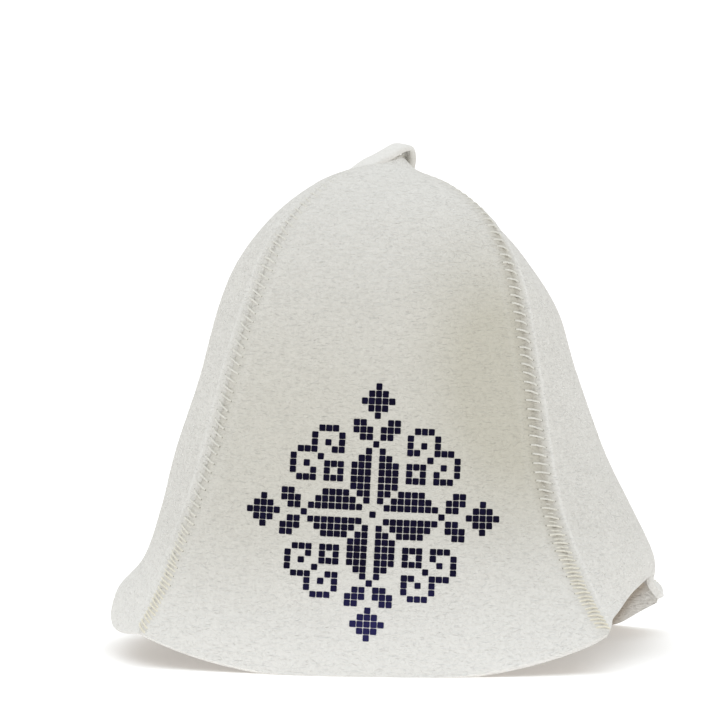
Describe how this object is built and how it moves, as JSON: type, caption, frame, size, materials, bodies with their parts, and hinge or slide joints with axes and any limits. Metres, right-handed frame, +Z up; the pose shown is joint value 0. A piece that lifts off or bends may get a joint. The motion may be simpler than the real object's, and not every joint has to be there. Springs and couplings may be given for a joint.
{
  "type": "felt sauna hat",
  "caption": "Bell-shaped felt sauna hat of stitched gores with a wavy flared hem, a printed rosette on the front and a hanging loop at the crown.",
  "frame": {"origin": "middle of the hat's box, seen from above, on the surface that the hem rests on", "axes": "+Z up through the crown, -Y out of the front gore with the rosette, +X towards the right gore"},
  "size_m": [0.2489, 0.2386, 0.2211],
  "materials": {
    "felt": "matte pressed wool felt, cream",
    "loop_felt": "matte pressed wool felt, cream"
  },
  "bodies": {
    "root": {"front_gore": "felt", "right_gore": "felt", "back_gore": "felt", "left_gore": "felt", "hanging_loop": "loop_felt"}
  },
  "joints": []
}
